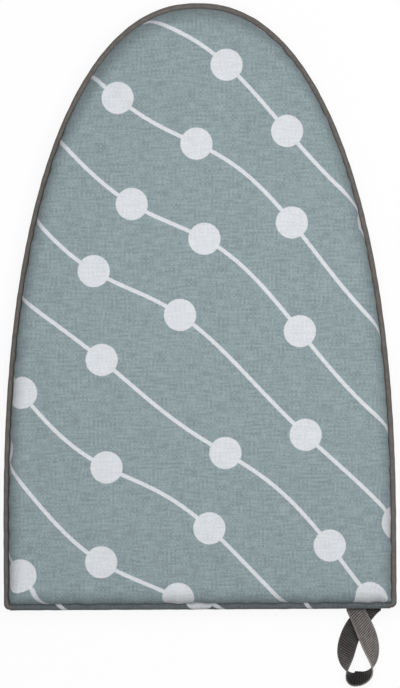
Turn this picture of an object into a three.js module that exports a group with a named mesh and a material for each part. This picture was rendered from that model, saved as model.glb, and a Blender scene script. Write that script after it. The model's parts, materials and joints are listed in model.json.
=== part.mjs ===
// A hand-held ironing pad: a stiff bullet-shaped board under foam, a steam barrier and felt, closed
// in a sewn cover with a piped edge. An elastic strap on the back takes the hand, and a webbing loop
// at the straight end hangs the pad up. Millimetres, +Z up. The pad lies on its back, face up, with
// the origin on the surface that it lies on, under the middle of the hand strap.

import * as THREE from "three";

// Plan of the pad
const PAD_WIDTH = 240; // over the piping
const PAD_LENGTH = 370; // from the straight end to the nose
const SIDE_LENGTH = 40; // parallel stretch of each side, next to the straight end
const NOSE_POWER = 2.35; // of y on the nose; with 2 for both powers it would be an ellipse
const SHOULDER_POWER = 2.2; // of x on the nose; more fills out its shoulders
const CORNER_RADIUS = 3.5; // at the two corners of the straight end
const INNER_CORNER_RADIUS = 1; // the least corner radius of the layers inside

// Layers, from the back to the face
const CLOTH = 0.8; // cover cloth, front and back
const BOARD = 4;
const FOAM = 9;
const BARRIER = 0.6;
const FELT = 3;
const FIT = 0.3; // clearance between one piece and the next

// Edge of the pad
const EDGE_REACH = 9.5; // how far in from its fullest line the padded edge rounds over
const EDGE_OVERHANG = 0.3; // how far that line stands out over the seam below it
const CROWN_RISE = 1.2; // how much higher the middle of the face is than its edge
const CROWN_REACH = SIDE_LENGTH - CORNER_RADIUS; // the face levels out as far in as each side is straight
const BACK_ROUND = 2.6; // radius where the back turns up round the board
const PIPING_DIAMETER = 3.4;
const PIPING_CORD_DIAMETER = 2;
const PIPING_FLANGE = 0.6; // thickness of the piping's seam allowance
const STRIP_HEIGHT = 6.4; // rolled strip that closes the straight end
const STRIP_CLOTH = 0.9;

// Hand strap
const GRIP_Y = 165; // from the straight end to the middle of the strap
const HAND_GAP = 12; // between the slack strap and the back
const STRAP_WIDTH = 70;
const STRAP_THICKNESS = 1.8;
const STRAP_EDGE = 30; // from the pad's side to the end of the strap
const STRAP_TAB = 22; // length of each end, turned under and sewn down
const STRAP_FLAT = 76; // level stretch in the middle

// Hanging loop
const LOOP_EDGE = 20; // from the pad's side to the middle of the loop's root
const LOOP_WIDTH = 12; // webbing
const LOOP_THICKNESS = 1.3;
const LOOP_DROP = 41.4; // from the fold line to the middle of the webbing at the far end
const LOOP_SPLAY = 9.2; // between the two ends where they leave the pad
const LOOP_LEAN = 5.4; // how far the far end hangs to one side
const LOOP_ROOT_PULL = { upper: [12.4, -24.8], lower: [-17.5, -10] }; // Bezier handle of each end, in x and y
const LOOP_FAR_PULL = { upper: 16, lower: -9.8 }; // Bezier handle of each half at the far end, in x
const LOOP_ROLL = THREE.MathUtils.degToRad(130); // how far the webbing has turned over at the far end
const LOOP_DELAY = { upper: 2.1, lower: 5 }; // how late each half turns over, as a power
const LOOP_PARTED = 0.3; // share of each half that lies over or under the other one
const LOOP_SETTLED = 0.55; // share of each half after which it stands on the lower surface
const LOOP_BOWED = 0.45; // share of each half that bows away from the other one
const LOOP_BOW = 0.9; // how far it bows
const LOOP_SEWN = 14; // length of each end that is sewn to the back
const FOLD_OUT = 2; // from the straight end to the line where the loop folds
const FOLD_GAP = 0.6; // between the loop and its sewn ends, on that line
const FOLD_MITRE = THREE.MathUtils.degToRad(42); // bevel that lets the loop fold either way

// Facets
const CORNER_STEPS = 4;
const NOSE_STEPS = 36;
const EDGE_STEPS = 6;
const BACK_STEPS = 3;
const BEAD_STEPS = 10;
const CORD_STEPS = 8;
const LOOP_STEPS = 28; // for each half of the loop
const CURVE_STEPS = 8; // for each curve of an extruded shape

// Heights, worked out from the layers
const BACK_Z = STRAP_THICKNESS + HAND_GAP;
const BOARD_Z = BACK_Z + CLOTH + FIT;
const BOARD_TOP = BOARD_Z + BOARD;
const FOAM_Z = BOARD_TOP + FIT;
const SEAM_Z = BOARD_TOP + FIT + PIPING_FLANGE / 2;
const FOAM_DEPTH = CLOTH + FIT + FELT + FIT + BARRIER + FIT; // of the foam below the face
const FACE_Z = FOAM_Z + FOAM + FOAM_DEPTH;

// Edge rounding: every layer's edge is a part of an ellipse about one common centre
const SEAM_INSET = PIPING_DIAMETER + FIT;
const SEAM_ANGLE = -Math.acos(1 - EDGE_OVERHANG / EDGE_REACH);
const EDGE_INSET = SEAM_INSET - EDGE_OVERHANG + EDGE_REACH;
const RIM_Z = SEAM_Z + PIPING_FLANGE / 2 + FIT;
const EDGE_RISE = (FACE_Z - CROWN_RISE - RIM_Z) / (1 - Math.sin(SEAM_ANGLE));
const EDGE_Z = FACE_Z - CROWN_RISE - EDGE_RISE;

// The outline, anticlockwise from one corner of the straight end to the other, drawn in all round.
function outline(inset) {
  const half = PAD_WIDTH / 2 - inset;
  const nose = PAD_LENGTH - SIDE_LENGTH - inset;
  const corner = Math.max(CORNER_RADIUS - inset, INNER_CORNER_RADIUS);
  const rightCorner = [];
  for (let i = 0; i <= CORNER_STEPS; i++) {
    const angle = (Math.PI / 2) * (i / CORNER_STEPS - 1);
    const x = half - corner + corner * Math.cos(angle);
    const y = inset + corner + corner * Math.sin(angle);
    rightCorner.push(new THREE.Vector2(x, y));
  }
  const curve = [];
  for (let i = 0; i <= NOSE_STEPS; i++) {
    const angle = (Math.PI * i) / NOSE_STEPS;
    const x = Math.sign(Math.cos(angle)) * Math.abs(Math.cos(angle)) ** (2 / SHOULDER_POWER);
    const y = Math.sin(angle) ** (2 / NOSE_POWER);
    curve.push(new THREE.Vector2(half * x, SIDE_LENGTH + nose * y));
  }
  const leftCorner = rightCorner.map((p) => new THREE.Vector2(-p.x, p.y)).reverse();
  return [...rightCorner, ...curve, ...leftCorner];
}

// Triangles that fill a flat contour round its hole, turning the same way as the contour does.
function capFaces(contour, hole) {
  const points = [...contour, ...hole];
  const clockwise = THREE.ShapeUtils.isClockWise(contour);
  const faces = THREE.ShapeUtils.triangulateShape([...contour], hole.length ? [[...hole]] : []);
  return faces.map(([a, b, c]) => {
    const same = THREE.ShapeUtils.isClockWise([points[a], points[b], points[c]]) === clockwise;
    return same ? [a, b, c] : [a, c, b];
  });
}

// Lofts a closed solid through sections with matching points, anticlockwise seen from the last one.
// The contours are the two end sections laid flat, and a hole's points follow its contour's.
function loft(sections, firstContour, lastContour = firstContour, hole = []) {
  const count = sections[0].length;
  const rims = [[0, firstContour.length]];
  if (hole.length) rims.push([firstContour.length, count]);
  const index = [];
  for (let s = 0; s + 1 < sections.length; s++) {
    for (const [start, end] of rims) {
      for (let k = start; k < end; k++) {
        const a = s * count + k;
        const b = s * count + (k + 1 < end ? k + 1 : start);
        index.push(a, b, b + count, a, b + count, a + count);
      }
    }
  }
  const last = (sections.length - 1) * count;
  for (const [a, b, c] of capFaces(firstContour, hole)) index.push(a, c, b);
  for (const [a, b, c] of capFaces(lastContour, hole)) index.push(last + a, last + b, last + c);
  const geometry = new THREE.BufferGeometry().setFromPoints(sections.flat());
  geometry.setIndex(index);
  geometry.computeVertexNormals();
  return geometry;
}

// A layer of the pad: rings of the outline, from a cap that faces up to a cap that faces down.
function layer(rings) {
  const plans = rings.map(({ inset }) => outline(inset).reverse());
  const sections = plans.map((plan, i) => plan.map((p) => new THREE.Vector3(p.x, p.y, rings[i].z)));
  return loft(sections, plans[0], plans[plans.length - 1]);
}

// A section, as points of inset and height, swept along the edge from corner to corner by the nose.
function edgeSweep(contour, hole = []) {
  const runs = [...contour, ...hole].map((p) => outline(p.x).map((q) => new THREE.Vector3(q.x, q.y, p.y)));
  const sections = runs[0].map((_, station) => runs.map((run) => run[station]));
  return loft(sections, contour, contour, hole);
}

// The rings of a surface that lies `depth` under the face, from the face out and down to the seam.
function frontRings(depth) {
  const rings = [{ inset: CROWN_REACH, z: FACE_Z - depth }];
  for (let i = EDGE_STEPS; i >= 0; i--) {
    const angle = SEAM_ANGLE + ((Math.PI / 2 - SEAM_ANGLE) * i) / EDGE_STEPS;
    const inset = EDGE_INSET - (EDGE_REACH - depth) * Math.cos(angle);
    rings.push({ inset, z: EDGE_Z + (EDGE_RISE - depth) * Math.sin(angle) });
  }
  return rings;
}

// A layer of even thickness that is drawn over what lies below it, down to the seam.
function drawnOver(depth, thickness) {
  return layer([...frontRings(depth), ...frontRings(depth + thickness).reverse()]);
}

// The foam's edge follows the layers above it, and then drops straight to the board.
function foamLayer() {
  const rings = frontRings(FOAM_DEPTH);
  const side = rings[rings.length - 1].inset;
  return { geometry: layer([...rings, { inset: side, z: FOAM_Z }]), side };
}

// The rings of the rounded edge of the back, `depth` inside the back cover, from the back upwards.
function backRings(depth) {
  const rings = [];
  for (let i = 0; i <= BACK_STEPS; i++) {
    const angle = (Math.PI / 2) * (i / BACK_STEPS);
    const inset = SEAM_INSET + BACK_ROUND - (BACK_ROUND - depth) * Math.sin(angle);
    rings.push({ inset, z: BACK_Z + BACK_ROUND - (BACK_ROUND - depth) * Math.cos(angle) });
  }
  return rings;
}

// A board with its lower edge rounded to sit in the back cover.
function coreBoard() {
  const edge = backRings(CLOTH + FIT).reverse();
  return layer([{ inset: edge[0].inset, z: BOARD_TOP }, ...edge]);
}

// A shallow tray of cloth, whose rim stops under the seam.
function backCover() {
  const rim = SEAM_Z - PIPING_FLANGE / 2 - FIT;
  const inside = backRings(CLOTH);
  const outside = backRings(0).reverse();
  const lip = [
    { inset: inside[BACK_STEPS].inset, z: rim },
    { inset: outside[0].inset, z: rim },
  ];
  return layer([...inside, ...lip, ...outside]);
}

// Points of a circle about the middle of the piping's bead, as inset and height.
function beadCircle(diameter, steps) {
  const points = [];
  for (let i = 0; i < steps; i++) {
    const angle = (2 * Math.PI * (i + 0.5)) / steps;
    const inset = PIPING_DIAMETER / 2 + (diameter / 2) * Math.cos(angle);
    points.push(new THREE.Vector2(inset, SEAM_Z + (diameter / 2) * Math.sin(angle)));
  }
  return points;
}

// A bias strip folded round the cord, with its two edges laid together as a flange in the seam.
function pipingCover(flangeInset) {
  const half = PIPING_FLANGE / 2;
  const bead = beadCircle(PIPING_DIAMETER, BEAD_STEPS);
  const flange = [
    new THREE.Vector2(flangeInset, SEAM_Z - half),
    new THREE.Vector2(flangeInset, SEAM_Z + half),
  ];
  const bore = beadCircle(PIPING_CORD_DIAMETER + 2 * FIT, CORD_STEPS).reverse();
  return edgeSweep([...flange, ...bead], bore);
}

// A strip of the face cloth rolled over the closing seam of the straight end.
function bottomStrip() {
  const depth = SEAM_INSET - FIT;
  const half = STRIP_HEIGHT / 2;
  const middle = RIM_Z - half;
  const section = new THREE.Shape();
  section.absellipse(depth, middle, depth, half, Math.PI / 2, -Math.PI / 2);
  section.absellipse(depth, middle, depth - STRIP_CLOTH, half - STRIP_CLOTH, -Math.PI / 2, Math.PI / 2, true);
  // The piping ends here: its outer side after the corner, and its inner side a little further in.
  const pipingEnd = Math.max(CORNER_RADIUS, PIPING_DIAMETER + INNER_CORNER_RADIUS);
  const span = PAD_WIDTH - 2 * pipingEnd - 2 * FIT;
  const settings = { depth: span, bevelEnabled: false, curveSegments: CURVE_STEPS };
  const geometry = new THREE.ExtrudeGeometry(section, settings);
  // The section's x and y become y and z, and the strip runs along x.
  geometry.rotateX(Math.PI / 2).rotateZ(Math.PI / 2);
  return geometry.translate(-span / 2, 0, 0);
}

// An elastic strap, level in the middle, that rises to a doubled tab at each end.
function handStrap() {
  const end = PAD_WIDTH / 2 - STRAP_EDGE;
  const tab = end - STRAP_TAB;
  const flat = STRAP_FLAT / 2;
  const ease = (tab - flat) / 2;
  const tabTop = BACK_Z - FIT;
  const tabLow = tabTop - 2 * STRAP_THICKNESS;
  const top = tabLow + STRAP_THICKNESS;
  const side = new THREE.Shape();
  side.moveTo(-end, tabLow);
  side.lineTo(-tab, tabLow);
  side.bezierCurveTo(-tab + ease, tabLow, -flat - ease, 0, -flat, 0);
  side.lineTo(flat, 0);
  side.bezierCurveTo(flat + ease, 0, tab - ease, tabLow, tab, tabLow);
  side.lineTo(end, tabLow);
  side.lineTo(end, tabTop);
  side.lineTo(tab, tabTop);
  side.lineTo(tab, top);
  side.bezierCurveTo(tab - ease, top, flat + ease, STRAP_THICKNESS, flat, STRAP_THICKNESS);
  side.lineTo(-flat, STRAP_THICKNESS);
  side.bezierCurveTo(-flat - ease, STRAP_THICKNESS, -tab + ease, top, -tab, top);
  side.lineTo(-tab, tabTop);
  side.lineTo(-end, tabTop);
  const settings = { depth: STRAP_WIDTH, bevelEnabled: false, curveSegments: CURVE_STEPS };
  const geometry = new THREE.ExtrudeGeometry(side, settings);
  return geometry.rotateX(Math.PI / 2).translate(0, STRAP_WIDTH / 2, 0);
}

// The loop's own frame has its origin on the fold line, with the pad towards +Y. The end whose side
// is 1 lies over the other one where they cross, and they are stacked between the two faces of a tab.
const LOOP_LAP = (LOOP_THICKNESS + FIT) / 2; // from the fold line to the middle of either end
const FOLD_Z = BACK_Z - FIT - LOOP_LAP - LOOP_THICKNESS / 2;
const FLAT = [
  new THREE.Vector2(1, 1),
  new THREE.Vector2(-1, 1),
  new THREE.Vector2(-1, -1),
  new THREE.Vector2(1, -1),
];

// Slides a point of the webbing's end along the webbing to the bevel of the fold; way is -1 outwards.
function bevel(point, way, slant) {
  const y = way * (FOLD_GAP / 2 + Math.abs(point.z) * Math.tan(FOLD_MITRE));
  return point.set(point.x + slant * (y - point.y), y, point.z);
}

// One half of the loop, in plan, from its end to the far end.
function loopHalf(side) {
  const end = side > 0 ? "upper" : "lower";
  const root = new THREE.Vector2((-side * LOOP_SPLAY) / 2, 0);
  const pull = new THREE.Vector2(...LOOP_ROOT_PULL[end]).add(root);
  const far = new THREE.Vector2(-LOOP_LEAN, -LOOP_DROP);
  const farPull = new THREE.Vector2(LOOP_FAR_PULL[end] - LOOP_LEAN, -LOOP_DROP);
  return new THREE.CubicBezierCurve(root, pull, farPull, far);
}

// The webbing's section at a share of the way from an end to the far end. It leaves the fold flat and
// square to it, turns over on the way, and comes down to stand on its edge on the lower surface.
function loopSection(side, share) {
  const half = loopHalf(side);
  const at = half.getPoint(share);
  const along = half.getTangent(share).multiplyScalar(side);
  const delay = side > 0 ? LOOP_DELAY.upper : LOOP_DELAY.lower;
  const roll = LOOP_ROLL * Math.sin((Math.PI / 2) * share) ** delay;
  const square = new THREE.Vector2(-along.y, along.x);
  const skew = 1 - THREE.MathUtils.smoothstep(share, 0, LOOP_PARTED);
  const outward = new THREE.Vector2(side, 0).lerp(square, 1 - skew).normalize();
  const across = new THREE.Vector3(outward.x * Math.cos(roll), outward.y * Math.cos(roll), -Math.sin(roll));
  const up = new THREE.Vector3(along.x, along.y, 0).cross(across).normalize();
  const stand = (LOOP_WIDTH / 2) * Math.abs(across.z) + (LOOP_THICKNESS / 2) * Math.abs(up.z);
  const settle = THREE.MathUtils.smoothstep(share, 0, LOOP_SETTLED);
  const parting = THREE.MathUtils.smoothstep(share, LOOP_PARTED, LOOP_SETTLED);
  const bow = LOOP_BOW * Math.sin(Math.PI * Math.min(share / LOOP_BOWED, 1)) ** 2;
  const lap = side * (LOOP_LAP * (1 - parting) + bow);
  const z = lap + settle * (stand - FOLD_Z);
  const middle = new THREE.Vector3(at.x, at.y, z);
  return FLAT.map(({ x, y }) => {
    const point = middle.clone().addScaledVector(across, (x * LOOP_WIDTH) / 2);
    return point.addScaledVector(up, (y * LOOP_THICKNESS) / 2);
  });
}

// Webbing from one end, out round the far end and back to the other end.
function hangingLoop() {
  const sections = [];
  for (let i = 0; i <= LOOP_STEPS; i++) sections.push(loopSection(1, i / LOOP_STEPS));
  for (let i = LOOP_STEPS - 1; i >= 0; i--) sections.push(loopSection(-1, i / LOOP_STEPS));
  for (const side of [1, -1]) {
    const end = side > 0 ? sections[0] : sections[2 * LOOP_STEPS];
    const heading = loopHalf(side).getTangent(0);
    for (const point of end) bevel(point, -1, heading.x / heading.y);
  }
  return loft(sections, FLAT);
}

// One end of the webbing, which runs on from the fold, square to it, under the pad's back.
function loopEnd(side) {
  const fold = loopSection(side, 0).map((p) => bevel(p, 1, 0));
  const sewn = fold.map((p) => new THREE.Vector3(p.x, FOLD_OUT + LOOP_SEWN, p.z));
  return loft(side > 0 ? [sewn, fold] : [fold, sewn], FLAT);
}

// Materials
function cloth(color, roughness = 0.9) {
  return new THREE.MeshStandardMaterial({ color, roughness, metalness: 0 });
}
const PRINTED_COTTON = cloth(0x8c9ba0);
const EDGING_COTTON = cloth(0x5f5b5b);
const BACK_TWILL = cloth(0x565455);
const WEBBING = cloth(0x625c59);
const ELASTIC = cloth(0x4a4748);
const NEEDLE_FELT = cloth(0xe8e4da, 1);
const PAD_FOAM = cloth(0xd9d6c8, 1);
const COTTON_CORD = cloth(0xd8d4c8);
const HARDBOARD = cloth(0x8a6a48, 0.7);
const METALLISED_FILM = new THREE.MeshStandardMaterial({ color: 0xc9cccf, roughness: 0.35, metalness: 0.9 });

function piece(name, geometry, material) {
  const mesh = new THREE.Mesh(geometry, material);
  mesh.name = name;
  return mesh;
}

// Assembly
const foam = foamLayer();
const pad = new THREE.Group();
pad.add(
  piece("front_cover", drawnOver(0, CLOTH), PRINTED_COTTON),
  piece("felt_layer", drawnOver(CLOTH + FIT, FELT), NEEDLE_FELT),
  piece("steam_barrier", drawnOver(CLOTH + FIT + FELT + FIT, BARRIER), METALLISED_FILM),
  piece("foam_layer", foam.geometry, PAD_FOAM),
  piece("core_board", coreBoard(), HARDBOARD),
  piece("back_cover", backCover(), BACK_TWILL),
  piece("piping_cover", pipingCover(foam.side - FIT), EDGING_COTTON),
  piece("piping_cord", edgeSweep(beadCircle(PIPING_CORD_DIAMETER, CORD_STEPS)), COTTON_CORD),
  piece("bottom_strip", bottomStrip(), PRINTED_COTTON),
);
pad.position.y = -GRIP_Y;

const loop = new THREE.Group();
loop.add(
  piece("loop_end_upper", loopEnd(1), WEBBING),
  piece("loop_end_lower", loopEnd(-1), WEBBING),
  piece("hanging_loop", hangingLoop(), WEBBING),
);
loop.position.set(PAD_WIDTH / 2 - LOOP_EDGE, -FOLD_OUT, FOLD_Z);
pad.add(loop);

const part = new THREE.Group();
part.add(pad, piece("hand_strap", handStrap(), ELASTIC));

export default part;
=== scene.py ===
# %% [markdown]
# # A hand-held ironing pad
# The imported solids are loaded first and stay where they are. Every soft piece below is a new mesh in
# the same frame, in metres: +Z comes out of the ironing face, +Y runs to the nose, and the origin lies
# on the table under the middle of the hand strap.

import json
import math

import bpy
import numpy as np
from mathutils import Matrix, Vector, geometry, kdtree

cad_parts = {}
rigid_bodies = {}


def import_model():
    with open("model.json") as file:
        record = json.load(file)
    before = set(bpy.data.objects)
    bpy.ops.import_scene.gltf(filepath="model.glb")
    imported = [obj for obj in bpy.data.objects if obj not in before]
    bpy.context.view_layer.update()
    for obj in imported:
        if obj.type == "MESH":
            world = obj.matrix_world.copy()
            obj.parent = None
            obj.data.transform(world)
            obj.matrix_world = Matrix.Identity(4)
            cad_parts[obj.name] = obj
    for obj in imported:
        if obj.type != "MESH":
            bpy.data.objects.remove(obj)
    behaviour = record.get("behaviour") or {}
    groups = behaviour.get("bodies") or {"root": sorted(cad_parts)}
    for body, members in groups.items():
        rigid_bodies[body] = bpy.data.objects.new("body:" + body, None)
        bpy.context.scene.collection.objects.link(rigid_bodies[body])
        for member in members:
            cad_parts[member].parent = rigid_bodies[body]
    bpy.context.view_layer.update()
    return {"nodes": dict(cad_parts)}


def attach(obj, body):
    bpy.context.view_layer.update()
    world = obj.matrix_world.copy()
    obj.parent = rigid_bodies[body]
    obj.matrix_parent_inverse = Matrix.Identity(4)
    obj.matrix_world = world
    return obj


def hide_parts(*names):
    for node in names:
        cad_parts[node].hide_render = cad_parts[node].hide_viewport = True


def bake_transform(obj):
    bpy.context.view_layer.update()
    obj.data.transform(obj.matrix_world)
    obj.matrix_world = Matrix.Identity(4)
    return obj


for left_over in list(bpy.data.objects):
    bpy.data.objects.remove(left_over)
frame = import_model()
print("solids:", ", ".join(sorted(frame["nodes"])))

# %% [markdown]
# ## Camera
# The pad is seen from straight above, with next to no perspective, as in a catalogue picture. A long
# lens far away gives that. The picture is 400 by 688 pixels, and one pixel covers 0.61 mm at the
# height of the piped edge. The pad lies a third of a degree askew, so the camera is turned by that.

# %% Camera
MM = 0.001
PIXEL, PICTURE_HEIGHT = 0.611 * MM, 688
PIPING_Z = 19.5
LENS = 400
CENTRE_X, CENTRE_Y = 0.67, -3.3  # what the middle of the picture shows
ASKEW = -0.3  # in degrees

eye = bpy.data.objects.new("overhead camera", bpy.data.cameras.new("overhead camera"))
bpy.context.scene.collection.objects.link(eye)
eye.data.lens = LENS
distance = PICTURE_HEIGHT * PIXEL * LENS / eye.data.sensor_width
eye.location = (CENTRE_X * MM, CENTRE_Y * MM, PIPING_Z * MM + distance)
eye.rotation_euler = (0, 0, math.radians(ASKEW))
eye.data.clip_end = 20
bpy.context.scene.camera = eye
print(f"camera {distance:.2f} m above the edge")

# %% [markdown]
# ## Light
# A soft lamp hangs a metre above the pad, a little towards the nose and the loop's side, and an even
# pale surround fills the shadows. The lamp is so near that the rounded edge turns away from it on all
# sides and darkens, which shows how thick the padding is. Together they light the face at the level
# at which a colour renders about as it is written, which is pi watts on each square metre.

# %% Lamp
LAMP_PLACE, LAMP_SIZE = Vector((0.1, 0.1, 0.95)), 0.65  # in metres
LAMP_SHARE, SURROUND = 0.86, 0.21  # of the light on the face

lamp = bpy.data.objects.new("softbox", bpy.data.lights.new("softbox", "AREA"))
bpy.context.scene.collection.objects.link(lamp)
lamp.data.shape = "DISK"
lamp.data.size = LAMP_SIZE
lamp.location = LAMP_PLACE
lamp.rotation_euler = (-LAMP_PLACE).to_track_quat("-Z", "Y").to_euler()
# A lamp of P watts that faces the pad gives a level surface P cos(tilt) / (pi d^2).
cos_tilt = LAMP_PLACE.z / LAMP_PLACE.length
lamp.data.energy = LAMP_SHARE * math.pi**2 * LAMP_PLACE.length_squared / cos_tilt
bpy.context.scene.view_settings.view_transform = "Standard"
print(f"softbox of {lamp.data.energy:.0f} W")

# %% [markdown]
# ## Adding nodes
# Every material here is a small network of nodes. One function adds a node, sets its properties and
# fills its sockets with numbers or with links from other nodes. Colours are written as sRGB hex
# values, as a paint program shows them, and another function turns them into the linear values that
# a renderer adds up.


# %% Node and colour helpers
def add(tree, kind, *inputs, into=None, **settings):
    """Add a node. inputs fill its sockets in order and into by name; a node as a value is a link."""
    made = tree.nodes.new("ShaderNode" + kind)
    for setting, value in settings.items():
        setattr(made, setting, value)
    for socket, value in [*enumerate(inputs), *(into or {}).items()]:
        if isinstance(value, bpy.types.Node):
            value = value.outputs[0]
        if isinstance(value, bpy.types.NodeSocket):
            tree.links.new(value, made.inputs[socket])
        elif value is not None:
            made.inputs[socket].default_value = value
    return made


def linear(hex_colour):
    """A hex colour as linear red, green, blue and alpha."""
    parts = [int(hex_colour[i : i + 2], 16) / 255 for i in (1, 3, 5)]
    return [p / 12.92 if p <= 0.04045 else ((p + 0.055) / 1.055) ** 2.4 for p in parts] + [1]


def empty_material(name):
    made = bpy.data.materials.new(name)
    made.use_nodes = True
    made.node_tree.nodes.clear()
    return made


# %% [markdown]
# ## Surround and floor
# The floor is paper. The camera sees it as white paper that also shines a little, which gives a white
# background with the pad's shadow left on it. Light that bounces off it sees a greyer paper, so the
# underside of the edge stays as dark as it is on a table.

# %% Surround and paper floor
FLOOR_HALF = 3  # in metres
PAPER_GLOW = 0.92

surround = bpy.data.worlds.new("white studio")
bpy.context.scene.world = surround
surround.use_nodes = True
surround.node_tree.nodes.clear()
ray = add(surround.node_tree, "LightPath")
level = add(surround.node_tree, "MapRange", ray.outputs["Is Camera Ray"], 0, 1, SURROUND, 1)
add(surround.node_tree, "OutputWorld", add(surround.node_tree, "Background", (1, 1, 1, 1), level))

paper = empty_material("Matt white paper")
tree = paper.node_tree
ray = add(tree, "LightPath")
kinds = ("Is Camera Ray", "Is Glossy Ray")
seen = add(tree, "Math", *(ray.outputs[kind] for kind in kinds), operation="MAXIMUM")
grain = add(tree, "TexNoise", into={"Scale": 900.0, "Detail": 3.0})
white = add(tree, "MixRGB", grain, linear("#f9f9f9"), linear("#fefefe"))
tone = add(tree, "MixRGB", seen, linear("#b8b8b8"), white)
shine = add(tree, "Math", seen, PAPER_GLOW, operation="MULTIPLY")
lit = add(tree, "MixShader", shine, add(tree, "BsdfDiffuse", tone), add(tree, "Emission", (1, 1, 1, 1), 1.0))
add(tree, "OutputMaterial", lit)

floor_mesh = bpy.data.meshes.new("paper floor")
corners = [(FLOOR_HALF * x, FLOOR_HALF * y, 0) for x, y in ((-1, -1), (1, -1), (1, 1), (-1, 1))]
floor_mesh.from_pydata(corners, [], [(0, 1, 2, 3)])
floor_mesh.materials.append(paper)
floor = bpy.data.objects.new("paper floor", floor_mesh)
floor.location.z = -0.2 * MM
bpy.context.scene.collection.objects.link(floor)
print("floor and surround are set")

# %% [markdown]
# ## The pad's edge in plan
# The outline is what every layer was cut to: two straight sides, a straight end with small corners,
# and a nose that is fuller than an ellipse. Drawing it once as a function of how far in from the edge
# it lies gives all the rings that the cover, the padding and the piping need. The points of the nose
# are spread evenly along the edge, so the cloth gets even cells.

# %% Nose
HALF_WIDTH, LENGTH, SIDE = 120.0, 370.0, 40.0
NOSE_POWER, SHOULDER_POWER = 2.35, 2.2
CELL = 4.0  # size of a cell of the cloth


def lengths(points):
    """How far along a line of points each one lies."""
    return np.concatenate([[0], np.cumsum(np.linalg.norm(np.diff(points, axis=0), axis=1))])


def nose_line(turn, inset):
    """Points of the nose for angles from 0 to pi, drawn in by inset."""
    wide = np.sign(np.cos(turn)) * abs(np.cos(turn)) ** (2 / SHOULDER_POWER)
    long = np.sin(turn) ** (2 / NOSE_POWER)
    return np.stack([(HALF_WIDTH - inset) * wide, SIDE + (LENGTH - SIDE - inset) * long], 1)


turn = np.linspace(0, np.pi, 4001)
run = lengths(nose_line(turn, 0))
nose_angles = np.interp(np.linspace(0, run[-1], int(run[-1] / CELL)), run, turn)
print(f"{len(nose_angles)} points round the nose")

# %% [markdown]
# The corners and the straight sides join on to the nose, up the right side and, mirrored, down the left
# one. The corner gets smaller in the rings that lie farther in. A closed ring adds the straight end.

# %% Edge line
CORNER, INNER_CORNER = 3.5, 1.0
STRAIGHT_END = -165.0  # y of the straight end in the frame
CORNER_POINTS, SIDE_POINTS = 6, 8


def edge_line(inset):
    """The edge from the right corner over the nose to the left corner, drawn in by inset."""
    half, corner = HALF_WIDTH - inset, max(CORNER - inset, INNER_CORNER)
    bend = np.linspace(-np.pi / 2, 0, CORNER_POINTS)
    rising = np.linspace(inset + corner, SIDE, SIDE_POINTS + 2)[1:-1]
    x = np.concatenate([half - corner + corner * np.cos(bend), np.full(SIDE_POINTS, half)])
    y = np.concatenate([inset + corner + corner * np.sin(bend), rising])
    right = np.stack([x, y], 1)
    line = np.concatenate([right, nose_line(nose_angles, inset), right[::-1] * (-1, 1)])
    return line + (0, STRAIGHT_END)


def edge_ring(inset):
    """The same line, closed along the straight end."""
    line = edge_line(inset)
    across = np.linspace(line[-1], line[0], int(2 * HALF_WIDTH / CELL))[1:-1]
    return np.concatenate([line, across])


around = len(edge_ring(0))
print(f"{around} points round the edge")

# %% [markdown]
# ## Meshes from rows of points
# Most pieces are rows of points joined by four-sided faces, like the cells of a net. Each point also
# carries its place on the flat cut cloth, in metres, as a UV map named `cut`. A weave drawn on that
# map follows the threads over every curve, at its real size.


# %% Mesh helpers
def new_piece(name, points, faces, cut, material):
    """A smooth mesh from points in mm, with cut giving each point's place on the cloth in mm."""
    points, cut = np.reshape(points, (-1, 3)), np.reshape(cut, (-1, 2))
    mesh = bpy.data.meshes.new(name)
    mesh.from_pydata(points * MM, [], [tuple(map(int, face)) for face in faces])
    corner_points = np.zeros(len(mesh.loops), np.int32)
    mesh.loops.foreach_get("vertex_index", corner_points)
    uv = mesh.uv_layers.new(name="cut")
    uv.data.foreach_set("uv", (cut[corner_points] * MM).astype(np.float32).ravel())
    mesh.shade_smooth()
    mesh.materials.append(material)
    piece = bpy.data.objects.new(name, mesh)
    bpy.context.scene.collection.objects.link(piece)
    return piece


def net(*sides):
    """A net of points from coordinates that are each given by row, by column or by both."""
    return np.stack(np.broadcast_arrays(*sides), 2)


def net_faces(rows, columns, closed=False):
    """The cells of a net of points, joined round to its first column if closed."""
    r, c = np.meshgrid(np.arange(rows - 1), np.arange(columns if closed else columns - 1), indexing="ij")
    right = (c + 1) % columns
    cells = [r * columns + c, r * columns + right, (r + 1) * columns + right, (r + 1) * columns + c]
    return np.stack([cell.ravel() for cell in cells], 1)


def apply_modifier(piece, kind, **settings):
    """Give a piece a modifier and make its result the mesh."""
    modifier = piece.modifiers.new(kind.lower(), kind)
    for setting, value in settings.items():
        setattr(modifier, setting, value)
    bpy.context.view_layer.objects.active = piece
    bpy.ops.object.modifier_apply(modifier=modifier.name)


# %% [markdown]
# ## Flat areas inside a ring
# The top and the back are flat areas of cloth with a curved edge. Inside the innermost ring an even
# grid of points is laid out, and Delaunay triangles join it to the ring. That gives cells of one size
# everywhere, where rings drawn in to a centre line would crowd there.

# %% Filling a ring
CELL_ROW, RIM_GAP = 0.87, 0.6  # height of a row of cells, and least gap to the ring, in cells


def unit(vectors):
    """The same directions, each of length 1."""
    return vectors / np.linalg.norm(vectors, axis=1)[:, None]


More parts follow.
